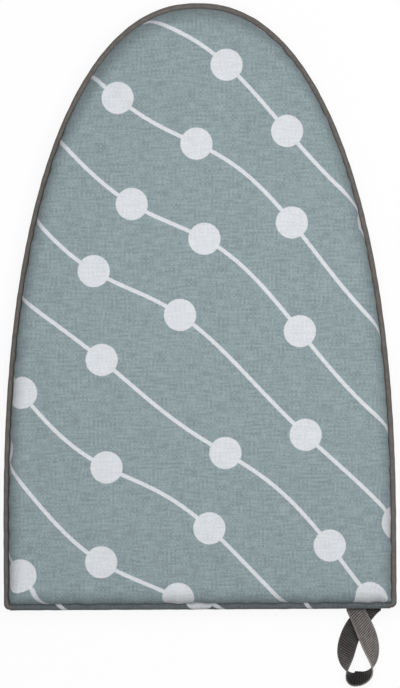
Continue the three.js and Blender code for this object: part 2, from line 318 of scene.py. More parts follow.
def inside(points, ring):
    """How far each point lies inside a closed ring; negative outside it."""
    start, end = ring, np.roll(ring, -1, axis=0)
    way = end - start
    to = points[:, None] - start[None]
    share = np.clip((to * way).sum(2) / (way**2).sum(1), 0, 1)
    far = np.linalg.norm(to - share[..., None] * way, axis=2).min(1)
    above = (start[None, :, 1] > points[:, None, 1]) != (end[None, :, 1] > points[:, None, 1])
    slope = way[:, 0] / np.where(way[:, 1] == 0, 1, way[:, 1])
    cross = start[:, 0] + (points[:, None, 1] - start[:, 1]) * slope
    odd = (above & (points[:, :1] < cross)).sum(1) % 2
    return np.where(odd == 1, far, -far)


def filled(ring, cell):
    """Grid points inside a ring, and triangles that join them and the ring's own points."""
    low, high = ring.min(0), ring.max(0)
    x, y = np.meshgrid(np.arange(low[0], high[0], cell), np.arange(low[1], high[1], cell * CELL_ROW))
    x[1::2] += cell / 2
    grid = np.stack([x.ravel(), y.ravel()], 1)
    grid = grid[inside(grid, ring) > RIM_GAP * cell]
    rim = [(i, (i + 1) % len(ring)) for i in range(len(ring))]
    points = [Vector(p) for p in np.concatenate([ring, grid])]
    return grid, np.array(geometry.delaunay_2d_cdt(points, rim, [], 1, 1e-6)[2])


# %% [markdown]
# A soft layer is then a stack of rings, each with its own inset and height, joined by four-sided faces
# and filled at one end or at both. Its cut comes from laying the turned edge flat round the last ring.


# %% Stacks of rings
def ring_stack(profile, cell, caps):
    """Rings of (inset, z) with their first and last filled as caps says; points, faces and cut."""
    rings = [edge_ring(inset) for inset, _ in profile]
    points = [np.column_stack([ring, np.full(around, z)]) for ring, (_, z) in zip(rings, profile)]
    faces = [tuple(face) for face in net_faces(len(rings), around, closed=True)]
    # On the cut, the edge unrolls outwards from the last ring.
    outward = unit(edge_ring(profile[-1][0] - 1) - rings[-1])
    past = lengths(np.array(profile)[::-1])[::-1]
    cut = [rings[-1] + outward * far for far in past]
    for end, capped in zip((0, len(rings) - 1), caps):
        if capped:
            grid, triangles = filled(rings[end], cell)
            grown = sum(map(len, points))
            number = np.concatenate([end * around + np.arange(around), grown + np.arange(len(grid))])
            # The cap of the first ring faces the other way.
            faces += [tuple(number[t] if end else number[t[::-1]]) for t in triangles]
            points.append(np.column_stack([grid, np.full(len(grid), profile[end][1])]))
            cut.append(grid)
    return np.concatenate(points), faces, np.concatenate(cut)


# %% [markdown]
# ## Woven cloth
# All the cover cloths are yarn. What the eye gets is a matt surface with a faint sheen at grazing
# angles, threads that stand up a little, and yarns that are not all equally thick or dark. The last
# step of every cloth is the same, so it is one function: the height of the threads becomes a bump, and
# the same height makes the hollows a little rougher.


# %% Cloth finish
def woven_finish(material, colour, height, relief, roughness, sheen):
    """Close a cloth's network: colour, thread height from 0 to 1, and relief in mm."""
    tree = material.node_tree
    bump = add(tree, "Bump", into={"Height": height, "Distance": relief * MM, "Strength": 1.0})
    dull = add(tree, "MapRange", height, 0, 1, min(roughness + 0.08, 1), roughness - 0.08)
    sockets = {"Base Color": colour, "Roughness": dull, "Normal": bump}
    sockets |= {"IOR": 1.5, "Specular IOR Level": 0.25, "Sheen Weight": sheen, "Sheen Roughness": 0.5}
    add(tree, "OutputMaterial", add(tree, "BsdfPrincipled", into=sockets))
    return material


def cut_place(tree):
    """Sockets with the place on the cut cloth, in mm: across, along and both."""
    flat = add(tree, "UVMap", uv_map="cut")
    place = add(tree, "VectorMath", flat, (1 / MM,) * 3, operation="MULTIPLY")
    parts = add(tree, "SeparateXYZ", place)
    return parts.outputs["X"], parts.outputs["Y"], place


def band_scale(spacing):
    """The scale at which the bands of a wave texture lie spacing mm apart."""
    return 2 * math.pi / 20 / spacing


# %% [markdown]
# ## The print
# The print is a plain one of dots strung on wavy lines. It is worked out from a formula, so it has no
# end: the lines repeat every 58 mm up the cloth, each with its own wobble, and each 58 mm of a line
# holds one dot, moved along by a random share. A point of the cloth is white if it lies within half
# a line's width of the nearest line, or within a dot's radius of the dot.

# %% Wavy lines
LINE_STEP, LINE_WIDTH, LINE_FALL = 58.0, 2.4, 0.88
LINE_BENDS = ((9.0, 230.0), (4.5, 130.0))  # height and length of a line's slow and quick bends


def line_height(tree, x, chance):
    """Sockets with the height of a wavy line at x, and its slope there."""
    height = add(tree, "Math", x, -LINE_FALL, operation="MULTIPLY")
    slope = -LINE_FALL
    for turns, (size, period) in enumerate(LINE_BENDS):
        start = add(tree, "Math", chance, 2 * math.pi * turns, operation="MULTIPLY")
        angle = add(tree, "Math", x, 2 * math.pi / period, start, operation="MULTIPLY_ADD")
        rise = add(tree, "Math", angle, operation="SINE")
        height = add(tree, "Math", rise, size, height, operation="MULTIPLY_ADD")
        lean = add(tree, "Math", angle, operation="COSINE")
        slope = add(tree, "Math", lean, size * 2 * math.pi / period, slope, operation="MULTIPLY_ADD")
    return height, slope


# %% [markdown]
# The way to a line is measured square to it, with the slope, so the line is equally wide where it is
# steep. A random number for each line and each step along it says where the dot sits.

# %% Strung dots
DOT_STEP, DOT_RADIUS = 58.0, 9.8
PRINT_BLUR = 0.25  # either way from a printed edge


def strung_dots(tree, x, y):
    """A socket that is 1 on the white of the print and 0 on its ground."""
    level = add(tree, "Math", x, LINE_FALL, y, operation="MULTIPLY_ADD")
    number = add(tree, "Math", add(tree, "Math", level, LINE_STEP, operation="DIVIDE"), operation="ROUND")
    chance = add(tree, "TexWhiteNoise", into={"W": number}, noise_dimensions="1D")
    base = add(tree, "Math", number, LINE_STEP, operation="MULTIPLY")
    height, slope = line_height(tree, x, chance)
    above = add(tree, "Math", add(tree, "Math", y, base, operation="SUBTRACT"), height, operation="SUBTRACT")
    square = add(tree, "Math", slope, slope, 1.0, operation="MULTIPLY_ADD")
    steep = add(tree, "Math", square, operation="SQRT")
    off = add(tree, "Math", add(tree, "Math", above, steep, operation="DIVIDE"), operation="ABSOLUTE")
    line = add(tree, "MapRange", off, LINE_WIDTH / 2 + PRINT_BLUR, LINE_WIDTH / 2 - PRINT_BLUR, 0, 1)

    cell = add(tree, "Math", add(tree, "Math", x, DOT_STEP, operation="DIVIDE"), operation="FLOOR")
    luck = add(tree, "TexWhiteNoise", add(tree, "CombineXYZ", cell, number), noise_dimensions="2D")
    share = add(tree, "MapRange", luck, 0, 1, 0.17, 0.83)
    middle_x = add(tree, "Math", add(tree, "Math", cell, share), DOT_STEP, operation="MULTIPLY")
    middle_y = add(tree, "Math", line_height(tree, middle_x, chance)[0], base)
    here, middle = add(tree, "CombineXYZ", x, y), add(tree, "CombineXYZ", middle_x, middle_y)
    away = add(tree, "VectorMath", here, middle, operation="DISTANCE").outputs["Value"]
    dot = add(tree, "MapRange", away, DOT_RADIUS + PRINT_BLUR, DOT_RADIUS - PRINT_BLUR, 0, 1)
    return add(tree, "Math", line, dot, operation="MAXIMUM")


print("print: one dot on each", DOT_STEP, "mm of a line")

# %% [markdown]
# ## Printed cotton
# The cloth under the print is a plain-weave cotton in a dusty blue grey. Its threads are about 0.5 mm
# apart, which is finer than a pixel of the picture, so they are drawn 1.3 mm apart to show. Threads
# going across and threads going along each have their own stretched noise, because yarn is thicker
# here and thinner there, and a chequer decides which of the two lies on top. The threads that go
# across are the more uneven ones. The closing strip's cloth is of the same kind in a darker grey.

# %% Printed cotton
THREAD = 1.3
# For threads along and across the cloth: how their noise is drawn out, and how uneven they are.
YARNS = (("X", (1 / THREAD, 0.13, 1), 0.75), ("Y", (0.11, 1 / THREAD, 1), 1.1))
YARN_SHADE = (0.78, 1.2)  # the darkest and the palest yarn, as shares of the colour
PRINT_COVER = 0.6  # how far the print hides that
BLOTCH = 20  # size of the faint blotches in the dye


def printed_cotton(name, shift, dark, pale):
    """Plain-weave cotton with a ground from dark to pale; shift moves the print, in mm."""
    material = empty_material(name)
    tree = material.node_tree
    x, y, place = cut_place(tree)
    white = strung_dots(tree, *(add(tree, "Math", side, by) for side, by in zip((x, y), shift)))

    over = add(tree, "TexChecker", place, (1, 1, 1, 1), (0, 0, 0, 1), 1 / THREAD).outputs["Fac"]
    yarns, ridges = [], []
    for way, stretch, uneven in YARNS:
        drawn = add(tree, "VectorMath", place, stretch, operation="MULTIPLY")
        slub = add(tree, "TexNoise", drawn, None, 1.0, 1.0, noise_dimensions="2D")
        yarns.append(add(tree, "MapRange", slub, 0, 1, 0.5 - uneven / 2, 0.5 + uneven / 2))
        ridges.append(add(tree, "TexWave", place, band_scale(THREAD), bands_direction=way))
    yarn = add(tree, "MixRGB", over, *yarns)
    height = add(tree, "MixRGB", 0.45, add(tree, "MixRGB", over, *ridges), yarn)

    blotch = add(tree, "TexNoise", place, None, 1 / BLOTCH, 2.0, noise_dimensions="2D")
    ground = add(tree, "MixRGB", blotch, linear(dark), linear(pale))
    colour = add(tree, "MixRGB", white, ground, linear("#dadde1"))
    shade = add(tree, "MapRange", yarn, 0.25, 0.75, *YARN_SHADE)
    hidden = add(tree, "Math", white, PRINT_COVER, operation="MULTIPLY")
    faint = add(tree, "MixRGB", hidden, shade, (1, 1, 1, 1))
    dyed = add(tree, "MixRGB", 1.0, colour, faint, blend_type="MULTIPLY")
    return woven_finish(material, dyed, height, relief=0.12, roughness=0.86, sheen=0.06)


face_cotton = printed_cotton("Printed cotton, plain weave", shift=(27, 38), dark="#8a9a9e", pale="#92a1a4")
strip_cotton = printed_cotton("Printed cotton, closing strip", shift=(31, 95), dark="#686f73", pale="#70777a")
print("printed cotton:", len(face_cotton.node_tree.nodes), "nodes")

# %% [markdown]
# ## The face, as cut and laid on
# The face is one piece of cotton over felt and foam, sewn down all round. Rings follow its rounded
# edge from the seam to the flat top. The layers inside have the same edge, farther in, so it is a
# function of how deep they lie. Round the nose the cloth pulls from three sides, so there it draws the
# edge of the padding down.

# %% Rounded edge
FACE_Z, RIM_Z = 33.5, 20.1
EDGE_REACH, EDGE_INSET = 9.5, 12.9  # width of the rounded edge, and how far in its top lies
OVERHANG, CROWN_RISE = 0.3, 1.2
SEAM_ANGLE = -math.acos(1 - OVERHANG / EDGE_REACH)
EDGE_RISE = (FACE_Z - CROWN_RISE - RIM_Z) / (1 - math.sin(SEAM_ANGLE))
EDGE_Z = FACE_Z - CROWN_RISE - EDGE_RISE
SEAM_INSET = 3.7
SIDE_PULL, NOSE_PULL, PULL_REACH = 0.05, 0.75, 4.5
PULL_FADE = (7, 16)  # where the pull ends, from the seam inwards
PULL_WAY = (-0.42, 0.91)  # the cloth pulls hardest to the left of the nose's tip
PULL_SPAN = (138.0, 180.0)  # where that way the pull grows


def rounded_edge(depth, steps):
    """The rounded edge of a surface that lies depth under the face, from the seam to the top."""
    angles = np.linspace(SEAM_ANGLE, np.pi / 2, steps)
    inset = EDGE_INSET - (EDGE_REACH - depth) * np.cos(angles)
    return list(zip(inset, EDGE_Z + (EDGE_RISE - depth) * np.sin(angles)))


def ease(value, low, high):
    """0 below low, 1 above high, and smooth between them."""
    share = np.clip((value - low) / (high - low), 0, 1)
    return share * share * (3 - 2 * share)


def drawn_down(points, squeeze=1.0):
    """Lower a layer towards the seam, most of all round the nose; layers inside are squeezed more."""
    pull = SIDE_PULL + (NOSE_PULL - SIDE_PULL) * ease(points[:, :2] @ PULL_WAY, *PULL_SPAN)
    far = np.maximum(inside(points[:, :2], edge_ring(0)) - SEAM_INSET, 0)
    near = np.exp(-far / PULL_REACH) * (1 - ease(far, *PULL_FADE))
    points[:, 2] -= squeeze * pull * near * np.maximum(points[:, 2] - RIM_Z, 0)


# %% [markdown]
# Past the seam the cloth goes on inwards a little, as a seam allowance does. The face is laid on flat
# here, a millimetre low, and the padding fills it next.

# %% Face cloth
EDGE_STEPS = 13  # rings in the rounded edge
ALLOWANCE = (8.9, 6.4)  # how far in the cloth past the seam goes

face_profile = [(inset, RIM_Z) for inset in ALLOWANCE] + rounded_edge(0, EDGE_STEPS)
points, faces, cut = ring_stack(face_profile, CELL, caps=(False, True))
drawn_down(points)
face = new_piece("face_cover", points, faces, cut, face_cotton)
print(f"face: {len(face.data.vertices)} points, {len(face.data.polygons)} cells")

# %% [markdown]
# ## Reading and moving points
# The cloth that was laid on is now swelled and puckered. Reading all the points of a mesh into one array
# and writing them back is much faster than going through them one by one.


# %% Reading and moving points
def places(piece):
    """A piece's points and normals, in mm."""
    found = []
    for source, name in ((piece.data.vertices, "co"), (piece.data.vertex_normals, "vector")):
        values = np.zeros(len(piece.data.vertices) * 3, np.float32)
        source.foreach_get(name, values)
        found.append(values.reshape(-1, 3).astype(float))
    return found[0] / MM, found[1]


def move_to(piece, points):
    """Put a piece's points, in mm."""
    piece.data.vertices.foreach_set("co", (points * MM).astype(np.float32).ravel())
    piece.data.update()


# %% [markdown]
# ## Drawing the cloth tight
# The padding pushes the cover out and its seam holds it back. Blender's cloth solver gives that: the
# seam and the edge next to it are pinned, gravity is off, and a light pressure fills the cover. The
# cloth is stiff in its own plane, so it crowns by a millimetre or two and no more. The result is
# written back into the mesh with a limit on how far a point may go, and the solver is removed.

# %% Cloth solver on the face
SWELL_LIMIT = 1.6
FRAMES = 20
PINNED, PIN_FADE = 3, 16  # how far in the cloth is held, and over what way it comes free


def fill_cover(piece, pins, limit):
    """Run the cloth solver on a piece and keep the result, moved by at most limit, in mm."""
    group = piece.vertex_groups.new(name="seam")
    for index, weight in enumerate(pins):
        group.add([index], float(weight), "REPLACE")
    solver = piece.modifiers.new("padding", "CLOTH")
    solver.settings.vertex_group_mass = group.name
    solver.settings.quality = 6
    solver.settings.tension_stiffness = solver.settings.compression_stiffness = 40
    solver.settings.bending_stiffness = 2
    solver.settings.effector_weights.gravity = 0
    solver.settings.use_pressure = True
    solver.settings.uniform_pressure_force = 4
    solver.collision_settings.use_collision = False
    solver.point_cache.frame_end = FRAMES
    for number in range(1, FRAMES + 1):
        bpy.context.scene.frame_set(number)
    settled = piece.evaluated_get(bpy.context.evaluated_depsgraph_get())
    laid = places(piece)[0]
    moved = np.array([v.co for v in settled.data.vertices]) / MM - laid
    far = np.linalg.norm(moved, axis=1)
    piece.modifiers.remove(solver)
    piece.vertex_groups.remove(group)
    bpy.context.scene.frame_set(1)
    move_to(piece, laid + moved * (np.minimum(far, limit) / np.maximum(far, 1e-6))[:, None])
    return far.max()


laid = places(face)[0]
pins = np.clip(1 - (inside(laid[:, :2], edge_ring(0)) - PINNED) / PIN_FADE, 0, 1)
pins[: (len(ALLOWANCE) + 1) * around] = 1
print(f"the padding would move the face by {fill_cover(face, pins, SWELL_LIMIT):.2f} mm")

# %% [markdown]
# ## Seam puckers
# Where a flat cloth is eased round a curve, the stitches gather it, and small ripples run in from the
# seam and die out. They follow the seam, so each point needs its place along the edge, and that comes
# from the nearest point of the edge line. Sines of several lengths keep the ripples from repeating.

# %% Ripples along a line
RIPPLES = (8.3, 10.7, 13.9, 19.0, 27.0)  # lengths of the sines


def sampled(line, along, wanted):
    """A line whose points lie at along, worked out at the places wanted."""
    return np.stack([np.interp(wanted, along, side) for side in line.T], 1)


def finer(line, parts):
    """A line of points with each of its steps cut into parts."""
    steps = np.linspace(0, len(line) - 1, (len(line) - 1) * parts + 1)
    return sampled(line, np.arange(len(line)), steps)


def nearest(points, line):
    """For each point, how far along the line its nearest place is, and how far away."""
    tree = kdtree.KDTree(len(line))
    for index, place in enumerate(line):
        tree.insert((*place, 0), index)
    tree.balance()
    found = [tree.find((x, y, 0)) for x, y in points]
    return lengths(line)[[index for _, index, _ in found]], np.array([far for _, _, far in found])


def ripple(along, seed):
    """An uneven ripple of height about 1, from the place along a seam in mm."""
    chance = np.random.default_rng(seed)
    waves = [np.sin(2 * np.pi * along / size + chance.uniform(0, 6.28)) for size in RIPPLES]
    return sum(waves) / 2.2


# %% [markdown]
# The face's cells are halved first, so that the ripples come out smooth. They are highest a few
# millimetres from the seam and die out over the rounded edge. Last, the cloth gets its thickness.

# %% Puckers along the seam
PUCKER, PUCKER_REACH = 0.3, 6.0
COTTON_THICK = 0.6

apply_modifier(face, "SUBSURF", levels=1)
at, normal = places(face)
seam = edge_ring(SEAM_INSET)
along, inwards = nearest(at[:, :2], finer(np.concatenate([seam, seam[:1]]), 10))
from_seam = np.hypot(inwards, at[:, 2] - RIM_Z) / PUCKER_REACH
size = PUCKER * from_seam * np.exp(1 - from_seam) * (at[:, 2] > RIM_Z + 0.1)
move_to(face, at + normal * (size * ripple(along, seed=3))[:, None])
apply_modifier(face, "SOLIDIFY", thickness=COTTON_THICK * MM, offset=-1)
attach(face, "pad")
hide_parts("front_cover")
print(f"face with puckers: {len(face.data.polygons)} faces")

# %% [markdown]
# ## Dark cover cloths
# The piping is a strip of plain dark cotton, cut on the bias so that it bends round the nose, and the
# back is a dark polyester twill. Both show slanting lines: on the bias strip these are the threads
# themselves, and on the twill its weave. One material function with a slanted wave serves both; the
# lines are about 0.6 mm apart on the real cloths and are drawn coarser, to show.


# %% Slanted weave
def slanted_weave(name, dark, pale, spacing, roughness):
    """Dark cloth with slanting threads, spacing mm apart."""
    material = empty_material(name)
    tree = material.node_tree
    _, _, place = cut_place(tree)
    worn = add(tree, "TexNoise", place, None, 0.35, 3.0, noise_dimensions="2D")
    # A diagonal band of this texture is 2 pi / 10 / sqrt(2) wide at a scale of 1.
    lines = add(tree, "TexWave", place, 0.444 / spacing, 0.8, 1.0, bands_direction="DIAGONAL")
    yarn = add(tree, "TexNoise", place, None, 1.1, 1.0, noise_dimensions="2D")
    height = add(tree, "MixRGB", 0.35, lines, yarn)
    shade = add(tree, "MixRGB", 0.5, height, worn)
    spread = add(tree, "MapRange", shade, 0.3, 0.7, 0, 1)
    colour = add(tree, "MixRGB", spread, linear(dark), linear(pale))
    return woven_finish(material, colour, height, relief=0.14, roughness=roughness, sheen=0.12)


bias_cotton = slanted_weave("Bias-cut cotton", "#585452", "#79746f", 1.0, 0.9)
back_twill = slanted_weave("Polyester twill", "#403e3f", "#5a5858", 1.4, 0.8)
print("dark cloths made")

# %% [markdown]
# ## Piping
# Piping is a strip folded round a cord, with both its edges sewn into the seam. Its section is a
# keyhole: a round bead outside and a thin flange that goes in between the face and the back. The
# section is swept along the edge. At each end of the straight end the bead thins out and dips into the
# hollow of the closing strip, as it does where it is sewn in under it.

# %% Piping
BEAD, BEAD_POINTS, BEAD_SWELL = 3.4, 19, 0.035
FLANGE, FLANGE_INSET, FLANGE_MIDDLE = 0.5, 8.5, 5.0
TUCK, TUCK_POINTS = 6.0, 8  # length of each tucked-in end
TUCK_THIN, TUCK_IN, TUCK_DIP = 0.45, 0.5, 2.2  # share that an end thins by, and how far it goes in and down

line = finer(edge_line(0), 3)
tangent = unit(np.gradient(line, axis=0))
beyond = np.linspace(0.5, TUCK, TUCK_POINTS)[:, None]
track = np.concatenate([line[0] - beyond[::-1] * tangent[0], line, line[-1] + beyond * tangent[-1]])
way = np.pad(tangent, ((TUCK_POINTS, TUCK_POINTS), (0, 0)), mode="edge")
inward = np.stack([-way[:, 1], way[:, 0]], 1)
along = lengths(track)
tucked = np.clip(np.maximum(TUCK - along, along - (along[-1] - TUCK)) / TUCK, 0, 1)

opening = math.asin(FLANGE / BEAD)
bead_angles = np.linspace(opening, 2 * math.pi - opening, BEAD_POINTS)
flange = [FLANGE_INSET, FLANGE_MIDDLE]
reach = np.concatenate([flange, BEAD / 2 + BEAD / 2 * np.cos(bead_angles), flange[::-1]])
rise = np.concatenate([[FLANGE / 2] * 2, BEAD / 2 * np.sin(bead_angles), [-FLANGE / 2] * 2])
swell = 1 + BEAD_SWELL * ripple(along, seed=8)
thin = 1 - TUCK_THIN * tucked
from_middle = (reach - BEAD / 2)[None] * (swell * thin)[:, None]
inset = BEAD / 2 + from_middle + (TUCK_IN * tucked)[:, None]
z = PIPING_Z + rise[None] * (swell * thin)[:, None] - (TUCK_DIP * tucked)[:, None]
xy = track[:, None] + inward[:, None] * inset[..., None]
points = np.concatenate([xy, z[..., None]], 2)
stations, sides = z.shape
rim = lengths(np.stack([reach, rise], 1))
cut = net(rim[None], along[:, None])
faces = net_faces(stations, sides)  # open where the two edges of the strip lie on each other
piping = new_piece("edge_piping", points, faces, cut, bias_cotton)
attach(piping, "pad")
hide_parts("piping_cover")
print(f"piping: {along[-1]:.0f} mm long")

# %% [markdown]
# ## Closing strip
# The straight end is closed with a narrow strip of the printed cotton, rolled over the seam. It was
# cut from another place of the cloth, so its print doesn't meet the face's. The strip is an open
# curve of cloth, a little wavy where the stitches draw it in, and thickened inwards.

# %% Closing strip
STRIP_DEPTH, STRIP_HALF, STRIP_THICK = 3.4, 3.2, 0.7
STRIP_REACH = 116.2
ROLL_FROM, ROLL_TO = 72, 288  # in degrees, from the face round to the back
STRIP_WAVE, STRIP_SET = 0.08, 0.1  # height of the waves, and how far in they lie
WAVE_OUT, WAVE_UP = 0.8, 0.03  # how much of a wave goes outwards, and swells the roll

x = np.linspace(-STRIP_REACH, STRIP_REACH, 92)
angles = np.radians(np.linspace(ROLL_FROM, ROLL_TO, 17))
wave = STRIP_WAVE * ripple(x + 500, seed=5)
arc = np.stack([STRIP_DEPTH * (1 + np.cos(angles)), STRIP_HALF * np.sin(angles)], 1)
pull = np.sin((angles - angles[0]) / (angles[-1] - angles[0]) * np.pi)
y = STRAIGHT_END + arc[None, :, 0] - (wave[:, None] - STRIP_SET) * pull * WAVE_OUT
z = RIM_Z - STRIP_HALF + arc[None, :, 1] * (1 + WAVE_UP * wave[:, None])
cut = net(x[:, None], -lengths(arc)[None])
faces = net_faces(len(x), len(angles))
strip = new_piece("closing_strip", net(x[:, None], y, z), faces, cut, strip_cotton)
apply_modifier(strip, "SOLIDIFY", thickness=STRIP_THICK * MM, offset=1)
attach(strip, "pad")
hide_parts("bottom_strip")

# %% [markdown]
# ## Back cloth
# The back is one piece of twill, turned up round the board to the same seam. It lies flat, because
# the board behind it is flat, with slight slack that shows as low waves between the seams.

# %% Back cloth
BACK_Z, BACK_ROUND, BACK_SIDE, BACK_RIM = 13.8, 2.6, 17.6, 18.85
TWILL_THICK, BACK_CELL, SLACK = 0.6, 5.0, 0.1


def cut_size(edge):
    """Width and length, and the area, of a cloth whose cut has this edge in mm; in metres."""
    ahead = np.roll(edge, -1, axis=0)
    area = abs((edge[:, 0] * ahead[:, 1] - ahead[:, 0] * edge[:, 1]).sum()) / 2
    return tuple(np.ptp(edge, axis=0) * MM), area * MM**2


turn = np.linspace(np.pi / 2, 0, 7)
curve = zip(SEAM_INSET + BACK_ROUND * (1 - np.sin(turn)), BACK_Z + BACK_ROUND * (1 - np.cos(turn)))
back_profile = [(inset, BACK_RIM) for inset in flange]
back_profile += [(SEAM_INSET, BACK_RIM - 0.3), (SEAM_INSET, BACK_SIDE), *curve]
points, faces, cut = ring_stack(back_profile, BACK_CELL, caps=(False, True))
slack = np.sin(points[:, 0] / 17 + 1.5 * np.sin(points[:, 1] / 41)) * np.sin(points[:, 1] / 29)
points[:, 2] += np.where(points[:, 2] < BACK_Z + 0.1, SLACK * slack, 0)
back = new_piece("back_cloth", points, [face[::-1] for face in faces], cut, back_twill)
apply_modifier(back, "SOLIDIFY", thickness=TWILL_THICK * MM, offset=-1)
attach(back, "pad")
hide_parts("back_cover")

# %% [markdown]
# ## Webbing and elastic
# The loop is narrow polyester webbing with cross ribs, and the strap is wide woven elastic with ribs
# along it. Both are filament yarn, so they shine a little more than cotton. The ribs are real relief
# in the meshes below, and the material paints shade into the hollows between them. The selvedges are plain.

# %% Ribbed band
REVERSE = 200.0  # what is added to the across coordinate of the cut on a band's reverse
FADE = 0.6  # over which the ribs end at a selvedge
YARN = 0.7  # the yarns in a rib are 0.3 mm thick, finer than a pixel, and are drawn this far apart
WORN = 2.5  # size of the worn spots


def ribbed_band(name, dark, pale, rib, way, plain, roughness, back=1.0, tones=()):
    """Yarn ribs that are rib mm apart along an axis of the cut, plain past an edge, with painted shade on the
    back.

    Each of tones is a stretch along the band, with the brightness before it and after it, painted light and
    shade.
    """
    material = empty_material(name)
    tree = material.node_tree
    x, y, place = cut_place(tree)
    turned = add(tree, "Math", x, REVERSE / 2, operation="GREATER_THAN")
    across = add(tree, "Math", turned, -REVERSE, x, operation="MULTIPLY_ADD")
    wave = add(tree, "TexWave", place, band_scale(rib), bands_direction=way)
    off = add(tree, "Math", across, operation="ABSOLUTE")
    woven = add(tree, "MapRange", off, plain, plain + FADE, 1, 0)
    ribs = add(tree, "MixRGB", woven, (0.75, 0.75, 0.75, 1), wave)
    other_way = "Y" if way == "X" else "X"
    yarn = add(tree, "TexWave", place, band_scale(YARN), 1.5, 1.0, bands_direction=other_way)
    worn = add(tree, "TexNoise", place, None, 1 / WORN, 3.0, noise_dimensions="2D")
    height = add(tree, "MixRGB", 0.3, ribs, yarn)
    shade = add(tree, "MixRGB", 0.35, height, worn)
    # The rib hollows are painted with shade here; the yarn and worn noise are the band's own.
    spread = add(tree, "MapRange", shade, 0.2, 0.75, 0, 1)
    face = add(tree, "MixRGB", spread, linear(dark), linear(pale))
    # The very edge of a selvedge shows some of the face's yarn on the reverse too.
    rim = add(tree, "MapRange", off, plain + FADE, plain + 2 * FADE, 1, 0.3)
    # Painted shade on the reverse: it is darkened to the share back, less so at the very selvedge.
    dim = add(tree, "MapRange", add(tree, "Math", turned, rim, operation="MULTIPLY"), 0, 1, 1, back)
    # Painted light and shade along the band: each stretch of tones brightens or darkens it.
    for stretch in tones:
        dim = add(tree, "Math", dim, add(tree, "MapRange", y, *stretch), operation="MULTIPLY")
    colour = add(tree, "MixRGB", 1.0, face, dim, blend_type="MULTIPLY")
    return woven_finish(material, colour, height, relief=0.1, roughness=roughness, sheen=0.1)


# %% [markdown]
# The webbing's reverse is painted darker, as shade inside the loop's far end, and its upper half is
# painted paler and the half that lies under it darker, as painted light and shade. The elastic is the same on
# both sides.

# %% Webbing and elastic
WEB_RIB, STRAP_RIB = 1.45, 3.5
# Painted light on the upper half of the loop, and painted shade on its far end and lower half.
loop_light_and_shade = ((16, 56, 0.8, 1.5), (57, 90, 1.0, 0.22))
# back=0.11 is painted shade on the webbing's reverse, where the loop's far end turns over.
webbing = ribbed_band(
    "Polyester webbing", "#231f1e", "#8f8987", WEB_RIB, "Y", 4.7, 0.78, back=0.11, tones=loop_light_and_shade
)
elastic = ribbed_band("Woven elastic", "#302e2f", "#565354", STRAP_RIB, "X", 34.0, 0.8)
print("webbing and elastic made")

# %% [markdown]
# ## Hanging loop
# The loop is one length of webbing. Both its ends are sewn under the back, one over the other. From
# there it runs out, its two halves cross, and it turns over on its way round the far end, where it
# stands on its edge. Each half follows a Bezier curve in plan, and a section of the webbing is turned
# and set down along it. A simulation would not end in the pose wanted, so the pose is drawn directly.

# %% Half of the loop
LOOP_X, FOLD_Y, FOLD_Z = 100.0, -167.0, 12.05
WEB_WIDTH, WEB_THICK = 12.0, 1.3
LOOP_DROP, LOOP_SPLAY, LOOP_LEAN = 42.0, 9.2, 5.4
# Half 1 starts at the upper end, next to the back, and half -1 at the lower one.
ROOT_PULL = {1: (12.4, -24.8), -1: (-17.5, -10.0)}
FAR_PULL = {1: 16.0, -1: -9.8}
LOOP_ROLL, FAR_LEAN = np.radians((130, 8))  # how far the webbing turns over, and leans out at the far end
LOOP_DELAY = {1: 2.1, -1: 5.0}
PARTED, SETTLED, FAR = 0.3, 0.55, 0.8  # shares of a half where it has turned, lies down and leans out
BOWED, BOW = 0.45, 0.9  # the share that bows away from the other half, and how high
LAP = 0.8  # from the fold line to the middle of either end


def bezier(knots, share):
    """Points of a cubic Bezier curve at shares of its way."""
    t = share[:, None]
    rest = 1 - t
    return rest**3 * knots[0] + 3 * rest**2 * t * knots[1] + 3 * rest * t**2 * knots[2] + t**3 * knots[3]


def half_loop(side, share):
    """Middle, width direction and face direction of the webbing along one half of the loop."""
    knots = np.zeros((4, 2))
    knots[0] = (-side * LOOP_SPLAY / 2, 0)
    knots[1] = knots[0] + ROOT_PULL[side]
    knots[2] = (FAR_PULL[side] - LOOP_LEAN, -LOOP_DROP)
    knots[3] = (-LOOP_LEAN, -LOOP_DROP)
    t = share[:, None]
    steps = np.diff(knots, axis=0)
    along = side * unit((1 - t) ** 2 * steps[0] + 2 * (1 - t) * t * steps[1] + t**2 * steps[2])
    roll = LOOP_ROLL * np.sin(np.pi / 2 * share) ** LOOP_DELAY[side] + FAR_LEAN * ease(share, FAR, 1)
    turned = ease(share, 0, PARTED)[:, None]
    outward = unit((1 - turned) * (side, 0) + turned * np.stack([-along[:, 1], along[:, 0]], 1))
    across = np.column_stack([outward * np.cos(roll)[:, None], -np.sin(roll)])
    up = unit(np.cross(np.column_stack([along, np.zeros(len(t))]), across))
    stand = WEB_WIDTH / 2 * abs(across[:, 2]) + WEB_THICK / 2 * abs(up[:, 2])
    lap = LAP * (1 - ease(share, PARTED, SETTLED)) + BOW * np.sin(np.pi * np.minimum(share / BOWED, 1)) ** 2
    z = side * lap + ease(share, 0, SETTLED) * (stand - FOLD_Z)
    return np.column_stack([bezier(knots, share), z]), across, up


# %% [markdown]
# The sewn ends lie straight and flat, and the two halves run between them. Joined in order they are one
# line from end to end, and its length is what is cut from the roll of webbing.

# %% Line of the webbing
SEWN, FOLD_START = 16.0, 0.4  # from the fold line to the end of the webbing, and to where it bends


def sewn_end(side, back):
    """Middle, width and face direction for one end of the webbing, straight back under the pad."""
    rows = np.ones((len(back), 1))
    middle = rows * (-side * LOOP_SPLAY / 2, 0, side * LAP)
    middle[:, 1] = back
    return middle, rows * (side, 0, 0), rows * (0, 0, 1)


